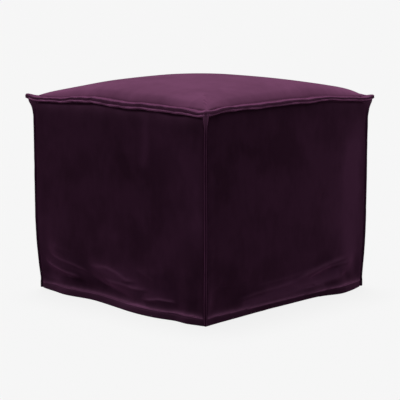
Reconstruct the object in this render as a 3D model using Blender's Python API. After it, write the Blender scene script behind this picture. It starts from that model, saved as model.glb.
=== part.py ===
"""Cube pouf: a filled velvet cube with a crowned top and sewn seam edges.

Every solid is drawn as it stands, filled, on the floor. The cover's panels are sewn to one
another and stuffed, so the filled cube is one solid. The trims that stand off it are solids of
their own: a double edge along each side of the top, and a welt down each upright corner.

Metres, +Z up. The origin is on the floor, under the middle of the pouf. The front faces -Y.
"""

import math
from collections import namedtuple

import bmesh
import bpy
from mathutils import Vector

MM = 0.001

# ---------------------------------------------------------------- driving sizes
WALL = 248 * MM  # from the upright axis to each side's plane
SEAM_HEIGHT = 404.5 * MM  # middle of the top edge above the floor, at a level corner
CROWN = 41.5 * MM  # rise of the filled top over its stitched rim
HEM_HEIGHT = 17 * MM  # depth of the turned hem along the floor
STEP_TOP = HEM_HEIGHT + 1.5 * MM
HEM_STEP = 2.5 * MM  # how far the hem stands out from the cloth above it
HEM_HOLD = 12 * MM  # the hem's stitching holds the folds down over this height
WAIST_DEPTH = 3 * MM  # the cloth draws in this far above the hem
WAIST_HEIGHT = 42 * MM
FOLD_TOP = 105 * MM  # above this height the sides have no folds
SLACK_TOP = 160 * MM  # above this height the hem's place no longer moves the sides
SLACK_ROUND = 1.7  # power of the curve on which the sides draw in towards the hem
CORNER_CUT = 4.5 * MM  # the body's corner is cut back this far, under the welt
CLEARANCE = 0.3 * MM  # between sewn pieces

# ---------------------------------------------------------------- top edge and rim
EDGE_THICKNESS = 9 * MM
EDGE_REACH = 259 * MM  # outer face of the top edge from the axis
EDGE_ROOT = 0.8  # share of the edge's thickness left where it is stitched to the rim
EAR_LENGTH = 0.07  # share of a half side over which the edge turns into its ear
EAR_FULLNESS = 0.15  # the edge is this much thicker at its tips, where the seams cross
NECK = 244.7 * MM  # the stitched rim that the top edge is sewn to
NECK_FOOT = -5.3 * MM  # the rim's lower end, from the seam's height
NECK_HEAD = 3.8 * MM  # the rim's upper end, where the top panel starts
RIM_HEIGHT = 5 * MM  # height of the top panel's border over the seam
RIM_STEP = 1.5 * MM  # the top panel's first ring lies this far inside the rim
CROWN_ROUND = 1.5  # power of the crown across the panel
CROWN_FULL = 0.36  # the smaller, the steeper the filled top leaves its seam
BULGE = 3.5 * MM  # how far the filling pushes out the middle of each side
SHOULDER_START = 21 * MM  # below the seam, where the sides start to turn in to the rim
SHOULDER = ((0.2 * MM, 11 * MM), (-1.4 * MM, 7 * MM))  # (out, below the seam)
BASE_INSET = 14 * MM  # the flat base starts this far inside the hem

# ---------------------------------------------------------------- corner welts
WELT_HALF_WIDTH = 2.7 * MM
WELT_HEIGHT = 5.7 * MM
WELT_FLARE = 6 * MM  # extra height of the nub under the top edge
WELT_FLARE_LENGTH = 37 * MM
WELT_FLARE_ROUND = 1.3
WELT_NUB_FOOT = 8 * MM  # below the seam
WELT_HEAD_GAP = 0.9 * MM  # under the top edge's tips, which slope there

# ---------------------------------------------------------------- mesh
COLUMNS = 34  # faces along each side
FOLD_ROWS = 10  # rows of faces over the folds
FOLD_ROW_SPREAD = 1.2  # over 1, the rows are closer together near the hem
WALL_ROWS = 6  # rows of faces on the smooth part of the side
END_DENSITY = 0.4  # 0 gives even columns, more gathers them at the corners
EDGE_STATIONS = 28  # sections along each top edge
EDGE_END_DENSITY = 0.25

# The sides run counter-clockwise seen from above. Along a side, a place runs from -250 mm at
# its first corner to +250 mm at its last.
HALF_RUN = 250 * MM
Side = namedtuple("Side", "name outward along first_corner last_corner")
SIDES = (
    Side("front", (0, -1), (1, 0), "front_left", "front_right"),
    Side("right", (1, 0), (0, 1), "front_right", "back_right"),
    Side("back", (0, 1), (-1, 0), "back_right", "back_left"),
    Side("left", (-1, 0), (0, -1), "back_left", "front_left"),
)

# How far the top seam rides above SEAM_HEIGHT: (place, lift), millimetres.
SEAM_LIFT = {
    "front": ((-250, 4), (-190, 5), (-115, 10), (-45, 8), (20, 5), (110, 2), (190, 0), (250, 0)),
    "right": ((-250, 0), (-190, 12), (-110, 15), (-20, 16), (65, 15), (145, 8), (225, 2), (250, 1)),
    "back": ((-250, 1), (-215, 5), (-140, 1), (-20, -3), (120, -2), (250, 0)),
    "left": ((-250, 0), (-120, 2), (40, -1), (160, 1), (250, 4)),
}

# How far the hem stands out from the side's plane: (place, out), millimetres.
HEM_WAVE = {
    "front": (
        (-250, -6.5), (-215, -7), (-175, 0), (-145, 0), (-90, -5), (-45, -2), (0, 5),
        (50, 13), (100, 16), (140, 13), (178, 5), (208, 8), (235, 2), (250, -1),
    ),
    "right": (
        (-250, -1), (-215, -2), (-160, -2), (-90, -3), (0, -2), (100, -2),
        (130, 1), (172, 8), (205, 4), (250, -4),
    ),
    "back": (
        (-250, -4), (-190, -2), (-120, 4), (-30, 9), (50, 5), (110, 9), (170, 3), (250, -6),
    ),
    "left": (
        (-250, -6), (-200, 0), (-130, 6), (-60, 2), (20, 8), (90, 4), (160, 7), (250, -6.5),
    ),
}

# How far the hem is pulled up off the floor: (place, lift), millimetres.
HEM_LIFT = {
    "front": ((-250, 3), (-215, 0), (-90, 1), (-30, 0), (250, 0)),
    "right": ((-250, 0), (-200, 1), (-90, 2.7), (0, 3.2), (100, 3), (165, 0), (215, 0), (250, 2)),
    "back": ((-250, 2), (-215, 0), (-60, 1.5), (60, 1), (130, 0), (215, 0), (250, 2)),
    "left": ((-250, 2), (-215, 0), (-100, 0), (0, 2), (100, 1), (215, 0), (250, 3)),
}

# The outer face of the top edge, two turned thicknesses with a shallow line between them, from
# its underside up: (set back from the outermost face, share of half the thickness).
EDGE_FACE = ((2.5 * MM, -1.0), (0.0, -0.62), (1.3 * MM, 0.0), (0.0, 0.62), (2.5 * MM, 1.0))

# The rounded face of a corner welt: (below its tip, share of its half width).
WELT_FACE = ((1.6 * MM, 0.85), (0.0, 0.4), (0.0, -0.4), (1.6 * MM, -0.85))

# The ears that the top edge makes at its corners: how far each reaches from the axis and how
# much its tip lifts, millimetres.
Ear = namedtuple("Ear", "reach lift")
EARS = {
    "front_left": Ear(reach=261, lift=3),
    "front_right": Ear(reach=259, lift=4),
    "back_right": Ear(reach=258.5, lift=4),
    "back_left": Ear(reach=260, lift=2),
}

# The soft folds in the slack cloth above the hem, each a straight ridge, or a trough where its
# height is below 0. Millimetres: from (place_a, up_a) to (place_b, up_b).
Fold = namedtuple("Fold", "side place_a up_a place_b up_b height width")
FOLDS = (
    Fold("front", -240, 70, -118, 44, height=5.5, width=10),
    Fold("front", -225, 100, -90, 68, height=5.0, width=11),
    Fold("front", -95, 86, 60, 60, height=5.5, width=11),
    Fold("front", -40, 52, 105, 48, height=4.5, width=9),
    Fold("front", 80, 33, 180, 38, height=4.0, width=9),
    Fold("front", 62, 86, 165, 82, height=3.0, width=11),
    Fold("front", -125, 46, 85, 25, height=-4.5, width=10),
    Fold("front", -215, 44, -95, 38, height=-3.5, width=10),
    Fold("right", -170, 35, 45, 47, height=4.5, width=10),
    Fold("right", 15, 46, 160, 76, height=5.5, width=10),
    Fold("right", 120, 76, 222, 66, height=4.5, width=11),
    Fold("right", -90, 24, 130, 27, height=5.0, width=13),
    Fold("right", 40, 32, 222, 48, height=5.0, width=17),
    Fold("right", 62, 38, 160, 58, height=-6.0, width=9),
    Fold("right", 160, 42, 212, 34, height=-5.0, width=10),
    Fold("back", -215, 72, -60, 46, height=5.5, width=11),
    Fold("back", -70, 62, 95, 74, height=5.0, width=11),
    Fold("back", 50, 38, 205, 54, height=5.0, width=11),
    Fold("back", -90, 30, 80, 36, height=-4.0, width=10),
    Fold("left", -215, 44, -50, 66, height=5.0, width=11),
    Fold("left", -60, 86, 90, 62, height=5.0, width=11),
    Fold("left", 30, 42, 200, 60, height=5.0, width=10),
    Fold("left", -110, 34, 50, 36, height=-4.0, width=10),
)

VELVET = (0.027, 0.009, 0.019, 1.0)
VELVET_ROUGHNESS = 0.85


# ---------------------------------------------------------------- curves
def ease(share):
    """Rise smoothly from 0 to 1 as share does."""
    share = min(1.0, max(0.0, share))
    return share * share * (3.0 - 2.0 * share)


def read_curve(rows, place):
    """Read a table of (place, value) at a place, in millimetres, on a smooth curve."""
    last = len(rows) - 2
    index = 0
    while index < last and place > rows[index + 1][0]:
        index += 1
    (place_a, value_a), (place_b, value_b) = rows[index], rows[index + 1]
    before = rows[max(0, index - 1)]
    after = rows[min(len(rows) - 1, index + 2)]
    span = place_b - place_a
    slope_a = (value_b - before[1]) / (place_b - before[0])
    slope_b = (after[1] - value_a) / (after[0] - place_a)
    t = min(1.0, max(0.0, (place - place_a) / span))
    return (
        (1 + 2 * t) * (1 - t) ** 2 * value_a
        + t * (1 - t) ** 2 * span * slope_a
        + t * t * (3 - 2 * t) * value_b
        + t * t * (t - 1) * span * slope_b
    )


def bunched_shares(steps, density):
    """Places from -1 to 1 along a side, closer together at its ends."""
    shares = []
    for step in range(steps + 1):
        even = 2.0 * step / steps - 1.0
        shares.append((1.0 - density) * even + density * math.sin(0.5 * math.pi * even))
    return shares


def column_shares():
    return bunched_shares(COLUMNS, END_DENSITY)


def seam_z(side, share):
    """Height of the top seam at a share, -1 to 1, of the way along a side."""
    return SEAM_HEIGHT + MM * read_curve(SEAM_LIFT[side.name], share * HALF_RUN / MM)


def hem_out(side, share):
    """How far the hem stands out from the side's plane."""
    return MM * read_curve(HEM_WAVE[side.name], share * HALF_RUN / MM)


def hem_raise(side, share):
    """How far the hem's edge is off the floor."""
    return MM * max(0.0, read_curve(HEM_LIFT[side.name], share * HALF_RUN / MM))


def waist(up):
    """Share of the waist's depth at a height: full at WAIST_HEIGHT, none at the hem."""
    if up < WAIST_HEIGHT:
        return ease((up - STEP_TOP) / (WAIST_HEIGHT - STEP_TOP))
    return 1.0 - ease((up - WAIST_HEIGHT) / (FOLD_TOP - WAIST_HEIGHT))


def fold_out(side, place, up):
    """Sum of the folds of a side at one of its points, all in metres. They die out at the hem."""
    total = 0.0
    for fold in FOLDS:
        if fold.side != side.name:
            continue
        start = Vector((fold.place_a, fold.up_a)) * MM
        run = Vector((fold.place_b, fold.up_b)) * MM - start
        offset = Vector((place, up)) - start
        t = offset.dot(run) / run.length_squared
        aside = (offset - run * t).length / (fold.width * MM)
        ends = ease(4.0 * t) * ease(4.0 * (1.0 - t))
        total += fold.height * MM * ends * math.exp(-aside * aside)
    return total * ease((up - STEP_TOP) / HEM_HOLD)


# ---------------------------------------------------------------- filled body
def wall_rows(seam):
    """Heights of the rows from the top of the hem's step to the shoulder under the seam."""
    rows = []
    for row in range(FOLD_ROWS + 1):
        rows.append(STEP_TOP + (FOLD_TOP - STEP_TOP) * (row / FOLD_ROWS) ** FOLD_ROW_SPREAD)
    wall_top = seam - WELT_FLARE_LENGTH
    for row in range(1, WALL_ROWS + 1):
        rows.append(FOLD_TOP + (wall_top - FOLD_TOP) * row / WALL_ROWS)
    rows.append(seam - SHOULDER_START)
    return rows


def side_section(side, share):
    """The side's upright section at one column: (out from the side's plane, height) pairs."""
    seam = seam_z(side, share)
    hem = hem_out(side, share)
    lifted = hem_raise(side, share)
    away_from_corner = 1.0 - ease((abs(share) - 0.9) / 0.1)
    step = HEM_STEP * (0.25 + 0.75 * away_from_corner)
    section = [(hem, lifted), (hem, lifted + HEM_HEIGHT - 1 * MM)]
    for up in wall_rows(seam):
        slack = max(0.0, 1.0 - (up - STEP_TOP) / (SLACK_TOP - STEP_TOP)) ** SLACK_ROUND
        out = (hem - step) * slack
        out -= WAIST_DEPTH * waist(up) * away_from_corner
        out += fold_out(side, share * HALF_RUN, up) * away_from_corner
        out += BULGE * (1.0 - share * share) * math.sin(math.pi * up / seam)
        section.append((out, up + lifted * slack))
    section.extend((out, seam - below) for out, below in SHOULDER)
    section.append((NECK - WALL, seam + NECK_FOOT))
    section.append((NECK - WALL, seam + NECK_HEAD))
    return section


def side_point(side, share, out, height, ends):
    """World place of a point on a side. ends are the outs of the side's two corners."""
    first = -(WALL + ends[0] - CORNER_CUT)
    last = WALL + ends[1] - CORNER_CUT
    place = first + (last - first) * 0.5 * (share + 1.0)
    outward = Vector(side.outward) * (WALL + out)
    across = Vector(side.along) * place
    return Vector((outward.x + across.x, outward.y + across.y, height))


def body_rings():
    """Rings of points from the floor up to the stitched rim, each starting at the same corner."""
    shares = column_shares()
    sections = {side.name: [side_section(side, share) for share in shares] for side in SIDES}
    rings = []
    for level in range(len(sections["front"][0])):
        ring = []
        for side in SIDES:
            columns = sections[side.name]
            ends = (columns[0][level][0], columns[-1][level][0])
            for share, column in zip(shares, columns):
                out, height = column[level]
                ring.append(side_point(side, share, out, height, ends))
        rings.append(ring)
    return rings


def crown_z(u, v):
    """Height of the top panel at (u, v), each from -1 to 1 across it."""
    front, right, back, left = SIDES
    rim = 0.5 * (1 - v) * seam_z(front, u) + 0.5 * (1 + v) * seam_z(back, -u)
    rim += 0.5 * (1 + u) * seam_z(right, v) + 0.5 * (1 - u) * seam_z(left, -v)
    for side, corner_u, corner_v in ((front, -1, -1), (right, 1, -1), (back, 1, 1), (left, -1, 1)):
        rim -= 0.25 * (1 + u * corner_u) * (1 + v * corner_v) * seam_z(side, -1)
    across = 1.0 - abs(u) ** CROWN_ROUND
    along = 1.0 - abs(v) ** CROWN_ROUND
    return rim + RIM_HEIGHT + CROWN * (across * along) ** CROWN_FULL


def top_ring():
    """The top panel's outermost ring, just inside the rim."""
    ring = []
    reach = NECK - RIM_STEP
    edge = reach / NECK
    for side in SIDES:
        for share in column_shares():
            point = side_point(side, share, reach - WALL, 0.0, (reach - WALL, reach - WALL))
            u = max(-edge, min(edge, point.x / NECK))
            v = max(-edge, min(edge, point.y / NECK))
            point.z = crown_z(u, v)
            ring.append(point)
    return ring


def add_ring(mesh, points):
    return [mesh.verts.new(point) for point in points]


def join_rings(mesh, lower, upper):
    """Quads between two rings that run counter-clockwise seen from above."""
    for index, corner in enumerate(lower):
        following = (index + 1) % len(lower)
        mesh.faces.new((corner, lower[following], upper[following], upper[index]))


def fill_top(mesh, ring):
    """Grid of the top panel inside its outermost ring."""
    inner = column_shares()[1:-1]
    reach = NECK - RIM_STEP
    edge = reach / NECK
    grid = []
    for v in inner:
        row = []
        for u in inner:
            row.append(mesh.verts.new((u * reach, v * reach, crown_z(u * edge, v * edge))))
        grid.append(row)
    for low, high in zip(grid, grid[1:]):
        for column in range(len(low) - 1):
            mesh.faces.new((low[column], low[column + 1], high[column + 1], high[column]))
    borders = (
        grid[0],
        [row[-1] for row in grid],
        grid[-1][::-1],
        [row[0] for row in grid][::-1],
    )
    run = COLUMNS + 1
    for number, border in enumerate(borders):
        outer = ring[number * run : (number + 1) * run]
        next_first = ring[(number + 1) * run % len(ring)]
        next_second = ring[((number + 1) * run + 1) % len(ring)]
        for index in range(len(border) - 1):
            mesh.faces.new((outer[index + 1], outer[index + 2], border[index + 1], border[index]))
        mesh.faces.new((outer[-2], outer[-1], border[-1]))
        mesh.faces.new((outer[-1], next_first, border[-1]))
        mesh.faces.new((next_first, next_second, border[-1]))


def fill_base(mesh, ring):
    """Flat base inside the hem: the hem's lifted corners slope down to it."""
    inner = []
    for vertex in ring:
        inward = Vector((vertex.co.x, vertex.co.y, 0.0)) * (1.0 - BASE_INSET / WALL)
        inner.append(mesh.verts.new(inward))
    join_rings(mesh, inner, ring)
    mesh.faces.new(inner[::-1])


def make_body():
    mesh = bmesh.new()
    rings = [add_ring(mesh, points) for points in body_rings() + [top_ring()]]
    fill_base(mesh, rings[0])
    for lower, upper in zip(rings, rings[1:]):
        join_rings(mesh, lower, upper)
    fill_top(mesh, rings[-1])
    return finish_piece("pouf_body", mesh)


# ---------------------------------------------------------------- sewn trims
def loft(mesh, sections):
    """Close a run of sections, each a ring of points, into one body with flat ends."""
    rings = [add_ring(mesh, section) for section in sections]
    for lower, upper in zip(rings, rings[1:]):
        join_rings(mesh, lower, upper)
    mesh.faces.new(rings[0][::-1])
    mesh.faces.new(rings[-1])


def edge_profile(reach, thickness):
    """The top edge's section, (out, up): two turned thicknesses with a shallow line between."""
    half = thickness / 2
    inner = NECK + CLEARANCE
    face = [(reach - inset, half * share) for inset, share in EDGE_FACE]
    return [(inner, -half * EDGE_ROOT)] + face + [(inner, half * EDGE_ROOT)]


def make_top_edge(side):
    """One straight run of the stitched edge, mitred where it meets its neighbours."""
    mitre_gap = CLEARANCE / math.sqrt(2.0)
    sections = []
    for share in bunched_shares(EDGE_STATIONS, EDGE_END_DENSITY):
        ear = EARS[side.last_corner if share > 0 else side.first_corner]
        at_tip = ease((abs(share) - 1.0 + EAR_LENGTH) / EAR_LENGTH)
        reach = EDGE_REACH + (ear.reach * MM - EDGE_REACH) * at_tip
        lift = ear.lift * MM * at_tip
        thickness = EDGE_THICKNESS * (1.0 + EAR_FULLNESS * at_tip)
        seam = seam_z(side, share)
        ring = []
        for out, up in edge_profile(reach, thickness):
            place = share * (out - mitre_gap)
            point = Vector(side.outward) * out + Vector(side.along) * place
            ring.append(Vector((point.x, point.y, seam + lift + up)))
        sections.append(ring)
    mesh = bmesh.new()
    loft(mesh, sections)
    return finish_piece("top_edge_" + side.name, mesh)


def make_welt(side):
    """The corner welt at the side's last corner, from the floor to the nub under the ear."""
    name = side.last_corner
    section = side_section(side, 1.0)
    seam = seam_z(side, 1.0)
    half_edge = EDGE_THICKNESS * (1.0 + EAR_FULLNESS) / 2
    head = seam + EARS[name].lift * MM - half_edge - WELT_HEAD_GAP
    outward = (Vector(side.outward) + Vector(side.along)).normalized()
    aside = Vector((outward.y, -outward.x))
    rows = [row for row in section if row[1] <= seam - SHOULDER_START]
    rows += [(0.0, seam - WELT_NUB_FOOT), (0.0, head)]
    sections = []
    for out, height in rows:
        flat = (WALL + out) * math.sqrt(2.0) - CORNER_CUT / math.sqrt(2.0)
        near_head = max(0.0, 1.0 - (head - height) / WELT_FLARE_LENGTH)
        root = flat + CLEARANCE
        tip = flat + WELT_HEIGHT + WELT_FLARE * near_head**WELT_FLARE_ROUND
        profile = [(root, -1.0)]
        profile += [(tip - below, -width_share) for below, width_share in WELT_FACE]
        profile.append((root, 1.0))
        ring = []
        for reach, width_share in profile:
            place = outward * reach - aside * (width_share * WELT_HALF_WIDTH)
            ring.append(Vector((place.x, place.y, height)))
        sections.append(ring)
    mesh = bmesh.new()
    loft(mesh, sections)
    return finish_piece("corner_welt_" + name, mesh)


# ---------------------------------------------------------------- objects
def velvet(name):
    material = bpy.data.materials.new(name)
    material.use_nodes = True
    shader = material.node_tree.nodes["Principled BSDF"]
    shader.inputs["Base Color"].default_value = VELVET
    shader.inputs["Roughness"].default_value = VELVET_ROUGHNESS
    shader.inputs["Metallic"].default_value = 0.0
    shader.inputs["Sheen Weight"].default_value = 1.0
    return material


def finish_piece(name, mesh):
    """Turn a finished bmesh into a named object with its own material."""
    bmesh.ops.triangulate(mesh, faces=mesh.faces[:])
    bmesh.ops.recalc_face_normals(mesh, faces=mesh.faces[:])
    data = bpy.data.meshes.new(name)
    mesh.to_mesh(data)
    mesh.free()
    data.shade_smooth()
    data.set_sharp_from_angle(angle=math.radians(40))
    data.materials.append(velvet("velvet_" + name))
    piece = bpy.data.objects.new(name, data)
    bpy.context.scene.collection.objects.link(piece)
    return piece


def main():
    for old in list(bpy.data.objects):
        bpy.data.objects.remove(old, do_unlink=True)
    pouf = bpy.data.objects.new("cube_pouf", None)
    bpy.context.scene.collection.objects.link(pouf)
    make_body().parent = pouf
    for side in SIDES:
        make_top_edge(side).parent = pouf
        make_welt(side).parent = pouf


main()
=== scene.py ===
# %% [markdown]
# # A velvet cube pouf
#
# The pouf is a sewn velvet cover, stuffed until it stands as a cube with a crowned top. Its
# imported solids already have the true sizes, the crown, the drawn-in sides and the soft folds.
# This lesson turns them into smooth cloth, presses the finer wrinkles in, turns the sewn edges,
# adds the thread, and gives everything a velvet pile, with painted highlights and painted shade
# in its colour. The solids come first, as a frame that never moves.

# %% Load the imported solids
import math
from collections import namedtuple

import bmesh
import bpy
import numpy as np
from mathutils import Matrix, Vector, noise
from mathutils.bvhtree import BVHTree


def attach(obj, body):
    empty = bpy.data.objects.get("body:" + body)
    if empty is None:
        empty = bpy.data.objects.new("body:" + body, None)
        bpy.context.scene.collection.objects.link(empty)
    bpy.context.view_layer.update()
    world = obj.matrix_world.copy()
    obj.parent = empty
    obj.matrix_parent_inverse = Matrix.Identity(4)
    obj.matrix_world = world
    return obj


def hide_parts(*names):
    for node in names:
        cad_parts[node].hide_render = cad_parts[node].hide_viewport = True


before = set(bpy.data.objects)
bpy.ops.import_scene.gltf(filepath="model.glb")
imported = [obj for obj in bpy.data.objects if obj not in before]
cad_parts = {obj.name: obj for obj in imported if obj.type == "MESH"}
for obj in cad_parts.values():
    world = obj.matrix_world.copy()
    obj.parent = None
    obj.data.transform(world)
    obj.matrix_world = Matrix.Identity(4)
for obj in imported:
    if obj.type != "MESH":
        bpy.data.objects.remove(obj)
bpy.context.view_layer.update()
MM = 0.001

# %% [markdown]
# ## The camera
#
# The photograph shows the pouf corner-on, from a little above its top. A long lens far away
# keeps its upright edges nearly parallel. The camera is set from two angles and a distance,
# because building its three axes is clearer than guessing rotations.

# %% Camera
VIEW_TURN = math.radians(43.66)  # round the pouf, from its front
VIEW_RISE = math.radians(8.97)  # above the horizon
VIEW_DISTANCE = 3.0978
LENS = 130.88  # millimetres
SENSOR = 36.0
LOOK_HEIGHT = 0.1906
LOOK_ASIDE = -0.0023


def towards(turn, rise):
    """The direction from the pouf to something round it and above the horizon."""
    level = Vector((math.sin(turn), -math.cos(turn), 0.0))
    return level * math.cos(rise) + Vector((0.0, 0.0, math.sin(rise)))


def add_object(name, data):
    added = bpy.data.objects.new(name, data)
    bpy.context.scene.collection.objects.link(added)
    return added


def place_camera():
    right = Vector((math.cos(VIEW_TURN), math.sin(VIEW_TURN), 0.0))
    back = towards(VIEW_TURN, VIEW_RISE)
    look = right * LOOK_ASIDE + Vector((0.0, 0.0, LOOK_HEIGHT))
    axes = Matrix((right, back.cross(right), back)).transposed().to_4x4()
    placed = add_object("camera", bpy.data.cameras.new("camera"))
    placed.data.sensor_width = SENSOR
    placed.data.lens = LENS
    placed.matrix_world = Matrix.Translation(look + back * VIEW_DISTANCE) @ axes
    bpy.context.scene.camera = placed
    return placed


camera = place_camera()
print("camera at", [round(c, 3) for c in camera.matrix_world.translation])

# %% [markdown]
# ## From solid to cloth
#
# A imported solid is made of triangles, and subdivision works best on quads. So each solid is
# copied and welded, and its triangles are joined in pairs. Its sharp edges are creased: the
# hem's step and its lower edge stay crisp while all the rest turns smooth.

# %% Turn a solid into smooth quads
WELD = 0.02 * MM
PAIR_ANGLE = math.radians(50)
REGULAR_QUADS = 2.0  # how much an even grid counts when triangles are paired
ON_FLOOR = 3 * MM


def quads_from(node):
    mesh = bmesh.new()
    mesh.from_mesh(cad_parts[node].data)
    bmesh.ops.remove_doubles(mesh, verts=mesh.verts[:], dist=WELD)
    bmesh.ops.join_triangles(
        mesh,
        faces=mesh.faces[:],
        angle_face_threshold=PAIR_ANGLE,
        angle_shape_threshold=math.pi,
        topology_influence=REGULAR_QUADS,
    )
    return mesh


def crease_edges(mesh, angle, strength):
    """Crease the edges that bend by more than the angle, fully where they are on the floor."""
    crease = mesh.edges.layers.float.new("crease_edge")
    bent = [e for e in mesh.edges if e.is_manifold and e.calc_face_angle() > angle]
    for edge in bent:
        on_floor = max(vertex.co.z for vertex in edge.verts) < ON_FLOOR
        edge[crease] = 1.0 if on_floor else strength
    return len(bent)


def object_from(name, mesh):
    data = bpy.data.meshes.new(name)
    mesh.to_mesh(data)
    mesh.free()
    return add_object(name, data)


def smooth(piece, levels):
    """Subdivide a piece, and make the result its own mesh."""
    modifier = piece.modifiers.new("smooth", "SUBSURF")
    modifier.levels = levels
    modifier.render_levels = levels
    depsgraph = bpy.context.evaluated_depsgraph_get()
    done = bpy.data.meshes.new_from_object(piece.evaluated_get(depsgraph))
    piece.modifiers.clear()
    piece.data = done
    piece.data.shade_smooth()
    return piece


print("triangles are paired up to", round(math.degrees(PAIR_ANGLE)), "degrees apart")

# %% The cover, copied from the filled body
LONG_EDGE = 25 * MM


def make_cover():
    mesh = quads_from("pouf_body")
    tall = [e for e in mesh.edges if abs(e.verts[0].co.z - e.verts[1].co.z) > LONG_EDGE]
    bmesh.ops.subdivide_edges(mesh, edges=tall, cuts=1, use_grid_fill=True)
    creased = crease_edges(mesh, angle=math.radians(35), strength=0.85)
    odd = sum(len(face.verts) != 4 for face in mesh.faces)
    print("cover: faces", len(mesh.faces), "not quads", odd, "creased edges", creased)
    return smooth(object_from("pouf_cover", mesh), levels=2)


def tell_faces(of_what, pieces):
    print(of_what, "faces:", sum(len(piece.data.polygons) for piece in pieces))


cover = make_cover()
tell_faces("smooth cover", [cover])

# %% [markdown]
# ## The cloth settles on its hem
#
# The hem is a doubled, stiffer band, and the filled cloth sags until it rests on its top edge. In
# some places it curls out to the edge in a soft hollow, in others it bulges over it. Seen from
# above, that turn catches the light in a bright line, and a painted highlight along it makes it
# brighter; the band and the bulges get a painted highlight too. The step is first brought down to
# its real height. Then rays measure the cloth's profile all along a side, and each profile is bent.

# %% Bring the hem's step down to its real height
PACKED_LEDGE = 18.7 * MM  # the top of the hem's step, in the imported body
LEDGE = 14.7 * MM
STEP_PULL = 50 * MM  # the cloth stretches this far above it


def ease(share):
    """Rise smoothly from 0 to 1 as the share does."""
    share = np.clip(share, 0.0, 1.0)
    return share * share * (3.0 - 2.0 * share)


def points_of(piece, kind="co"):
    points = np.empty(len(piece.data.vertices) * 3)
    piece.data.vertices.foreach_get(kind, points)
    return points.reshape(-1, 3)


def move_points(piece, points):
    piece.data.vertices.foreach_set("co", points.ravel())
    piece.data.update()


def lower_step(piece):
    points = points_of(piece)
    up = points[:, 2]
    above = 1.0 - ease((up - PACKED_LEDGE) / STEP_PULL)
    points[:, 2] -= (PACKED_LEDGE - LEDGE) * np.where(up < PACKED_LEDGE, up / PACKED_LEDGE, above)
    move_points(piece, points)


lower_step(cover)
print("hem: its step is at", round(LEDGE / MM, 1), "mm")

# %% Places on the four sides
# A side's place runs from -250 mm at its first corner to +250 mm at its last, as seen from
# outside, and its height from the floor up.
Side = namedtuple("Side", "name outward along last_corner")
SIDES = (
    Side("front", (0, -1), (1, 0), "front_right"),
    Side("right", (1, 0), (0, 1), "back_right"),
    Side("back", (0, 1), (-1, 0), "back_left"),
    Side("left", (-1, 0), (0, -1), "front_left"),
)
SIDE_END = 250 * MM
CORNER = 244 * MM  # the sides' cloth ends here, under the corner welts
NECK = 244.7 * MM  # the stitched rim that the top edge is sewn to
TOP_SEAM = 404.5 * MM
HEM_TOP = 13.5 * MM
BASE = 0.5 * MM  # lower than this there is only the flat base


def seen_from(side, points):
    """How far out, how far along and how high points are, seen from one side, in metres."""
    out = points[:, :2] @ np.array(side.outward, float)
    along = points[:, :2] @ np.array(side.along, float)
    return out, along, points[:, 2]


def world_points(side, out, along, up):
    """The world places of points that are given as one side sees them."""
    out, along, up = np.broadcast_arrays(out, along, up)
    flat = np.outer(out, side.outward) + np.outer(along, side.along)
    return np.column_stack((flat, up))


def by_side(points):
    """For each side: its number, the side itself, and which of the points are on it."""
    nearest = np.argmax([seen_from(side, points)[0] for side in SIDES], axis=0)
    for number, side in enumerate(SIDES):
        yield number, side, nearest == number


def places_to(end, step):
    """Places from one end of a side to the other."""
    return np.arange(-end, end + 0.1 * MM, step)


print("sides:", [side.name for side in SIDES])

# %% Measure profiles along a side
OUTSIDE = 0.4  # level rays start this far out, in metres, clear of the pouf
PROFILE_END = 240 * MM
PROFILE_STEP = 4 * MM
PROFILE_RISE = 2 * MM
EVENED_OVER = 3  # each measure is averaged with this many neighbours, left and right
HEM_MIDDLE = 9 * MM
BULGE_TOP = 44 * MM
FLARE_HEIGHT = 14 * MM
FLARE_DEPTH = {  # how deep the cloth turns in over the hem: (place, depth) in millimetres
    "front": (
        (-250, 2.0), (-218, 2.6), (-190, 3.4), (-160, 5.2), (40, 5.5), (100, 4.0), (180, 3.2),
        (250, 2.6),
    ),
    "right": ((-250, 2.5), (-150, 1.0), (-100, 0), (160, 0), (210, 2.0), (250, 2.5)),
    "back": ((-250, 2.6), (-160, 4.5), (-60, 5.0), (40, 1.5), (130, 0), (250, 2.5)),
    "left": ((-250, 2.6), (-60, 3.0), (60, 5.0), (250, 4.5)),
}


def tree_of(piece):
    return BVHTree.FromPolygons(
        [v.co for v in piece.data.vertices], [p.vertices for p in piece.data.polygons]
    )


def on_cloth(tree, starts, direction):
    """The (point, normal) pairs where rays from the starts meet the cloth."""
    found = [tree.ray_cast(Vector(start), Vector(direction)) for start in starts]
    return [(hit[0], hit[1]) for hit in found if hit[0] is not None]


def from_outside(tree, side, places, heights):
    """Where level rays meet a side: (point, normal) pairs, and how far out each is."""
    starts = world_points(side, OUTSIDE, places, heights)
    hits = on_cloth(tree, starts, (-side.outward[0], -side.outward[1], 0.0))
    outs = [point.x * side.outward[0] + point.y * side.outward[1] for point, _ in hits]
    return hits, np.array(outs)


def even_out(values):
    padded = np.pad(values, EVENED_OVER, mode="edge")
    window = np.hanning(2 * EVENED_OVER + 3)[1:-1]
    return np.convolve(padded, window / window.sum(), mode="valid")


def table_at(table, places):
    """A (place, value) table in millimetres, read at places in metres."""
    at, value = np.array(table, float).T * MM
    return np.interp(places, at, value)


def share_at(table, places):
    """The same for a table of (place in millimetres, share)."""
    return table_at(table, places) / MM


def measure_hem(tree, side, places):
    """The hem's reach, the depth of its turn, and the bulge's reach and height, by place."""
    heights = np.arange(LEDGE + PROFILE_RISE, BULGE_TOP, PROFILE_RISE)
    rows = (HEM_MIDDLE, LEDGE + FLARE_HEIGHT, *heights)
    hem, above, *profile = (from_outside(tree, side, places, height)[1] for height in rows)
    profile = np.array(profile)
    depth = np.maximum(table_at(FLARE_DEPTH[side.name], places), hem - above)
    bulge_height = heights[profile.argmax(axis=0)]
    return hem, even_out(depth), even_out(profile.max(axis=0)), even_out(bulge_height)


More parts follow.
